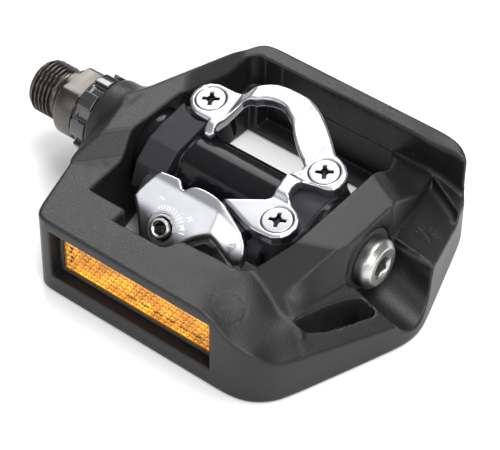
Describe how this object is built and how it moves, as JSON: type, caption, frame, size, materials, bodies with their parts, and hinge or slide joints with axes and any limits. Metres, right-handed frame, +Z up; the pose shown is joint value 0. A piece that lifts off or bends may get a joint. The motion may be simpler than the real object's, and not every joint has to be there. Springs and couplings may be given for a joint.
{
  "type": "clipless bicycle pedal",
  "caption": "Right-hand bicycle pedal with a sprung cleat binding that stands up over a resin platform cage with amber edge reflectors.",
  "frame": {"origin": "on the spindle axis, in the plane of the shoulder that seats on the crank", "axes": "+X outboard along the spindle, +Y towards the front of the bicycle, +Z up from the binding side, with the platform cage level"},
  "size_m": [0.1164, 0.0848, 0.0334],
  "materials": {
    "spindle_steel": "semi-gloss, dark and slightly warm",
    "hard_steel": "ground and polished",
    "black_gloss": "gloss black, with satin machined facets",
    "lock_ring": "glossy black",
    "seal": "soft matte black",
    "bush": "smooth off-white",
    "plated_claw": "bright satin plate",
    "plated_screw": "bright satin plate, darker in the recesses",
    "cap_silver": "satin, brighter on the edge",
    "spring_wire": "dark oiled wire",
    "resin": "black moulded resin with a fine grain",
    "amber_lens": "clear amber with small prisms",
    "tray": "satin black",
    "dark_plate": "dark phosphated steel",
    "bolt_steel": "satin plate, worn round the socket"
  },
  "bodies": {
    "spindle": {"spindle": "spindle_steel", "bearing_cone": "hard_steel", "lock_nut": "spindle_steel"},
    "binding": {"centre_body": "black_gloss", "lock_bolt": "lock_ring", "seal_ring": "seal", "bushing": "bush", "outer_cup": "hard_steel", "bearing_balls": "hard_steel", "front_claw": "plated_claw", "claw_screws": "plated_screw", "claw_pin": "spindle_steel", "claw_spring": "spring_wire", "end_cap": "cap_silver", "end_washer": "seal", "popup_spring": "spring_wire"},
    "cage": {"cage": "resin", "rear_reflector": "amber_lens", "front_reflector": "amber_lens", "rear_holder": "tray", "front_holder": "tray"},
    "rear_claw": {"rear_claw": "plated_claw"},
    "adjust_bolt": {"adjust_bolt": "bolt_steel"},
    "tension_nut": {"tension_nut": "dark_plate", "spring_plate": "dark_plate"}
  },
  "joints": [
    {"name": "spin", "type": "hinge", "parent": "spindle", "child": "binding", "pos_m": [0, 0, 0], "axis": [1, 0, 0], "continuous": true},
    {"name": "pop_up", "type": "hinge", "parent": "binding", "child": "cage", "pos_m": [0, 0, 0], "axis": [1, 0, 0], "range_deg": [0, 10], "stiffness_Nm_per_rad": 0.6, "springref_deg": -20.05},
    {"name": "release", "type": "hinge", "parent": "binding", "child": "rear_claw", "pos_m": [0, -0.01257, -0.00069], "axis": [1, 0, 0], "range_deg": [0, 20], "stiffness_Nm_per_rad": 2, "springref_deg": -20.05},
    {"name": "bolt_turn", "type": "hinge", "parent": "rear_claw", "child": "adjust_bolt", "pos_m": [0.0489, -0.02322, 0.00098], "axis": [0, -0.7986, 0.6018], "range_deg": [-1350, 0]},
    {"name": "nut_travel", "type": "slide", "parent": "rear_claw", "child": "tension_nut", "axis": [0, -0.7986, 0.6018], "range_m": [0, 0.003]}
  ],
  "couplings": [
    {"joint": "bolt_turn", "follows": "nut_travel", "rad_per_m": -7854}
  ]
}
